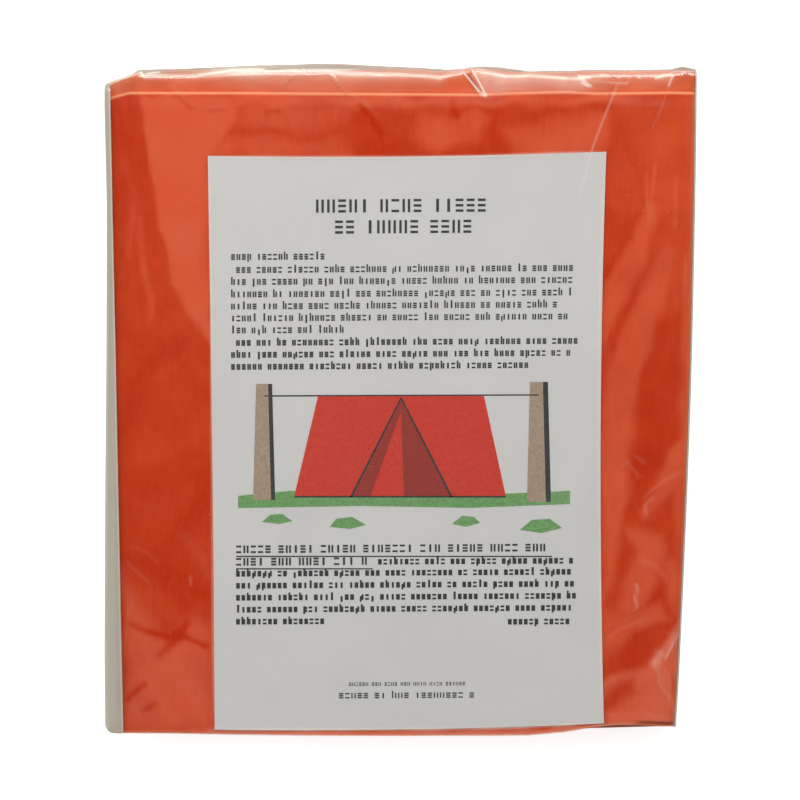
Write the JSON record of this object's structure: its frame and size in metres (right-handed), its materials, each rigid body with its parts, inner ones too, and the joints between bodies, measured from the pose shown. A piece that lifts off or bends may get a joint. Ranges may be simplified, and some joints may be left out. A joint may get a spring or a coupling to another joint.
{
  "type": "packed emergency tube tent",
  "caption": "Orange film tube tent folded to and fro into a flat stack, in a clear film bag with a set-up leaflet; the flap opens and the contents slide out.",
  "frame": {"origin": "centre of the pack's box at its underside, where its back wall lies on a surface", "axes": "+Z out of the front face that shows the leaflet, +Y towards the mouth of the bag, +X to the right as the leaflet is read"},
  "size_m": [0.2118, 0.238, 0.0193],
  "materials": {
    "tent_film": "satin orange polyethylene film, soft sheen on the folds",
    "bag_film": "clear glossy low-density polyethylene film, slightly hazy, wrinkled",
    "paper": "uncoated white paper with dark print",
    "adhesive": "clear tacky adhesive"
  },
  "bodies": {
    "bag": {"bag_front_wall": "bag_film", "bag_back_wall": "bag_film", "bag_bottom_fold": "bag_film", "bag_left_side": "bag_film", "bag_right_side": "bag_film"},
    "flap": {"bag_end_flap": "bag_film"},
    "lip": {"bag_lip": "bag_film", "adhesive_strip": "adhesive"},
    "leaflet": {"instruction_leaflet": "paper"},
    "tent": {"folded_tent_tube": "tent_film"}
  },
  "joints": [
    {"name": "flap_open", "type": "hinge", "parent": "bag", "child": "flap", "pos_m": [0, 0.10955, 0.01926], "axis": [1, 0, 0], "range_deg": [0, 165]},
    {"name": "lip_peel", "type": "hinge", "parent": "flap", "child": "lip", "pos_m": [0, 0.1177, 0], "axis": [1, 0, 0], "range_deg": [0, 160]},
    {"name": "tent_slide", "type": "slide", "parent": "bag", "child": "tent", "axis": [0, 1, 0], "range_m": [0, 0.237], "deforming": ["bag_end_flap"]},
    {"name": "leaflet_slide", "type": "slide", "parent": "bag", "child": "leaflet", "axis": [0, 1, 0], "range_m": [0, 0.237], "deforming": ["bag_end_flap"]}
  ]
}
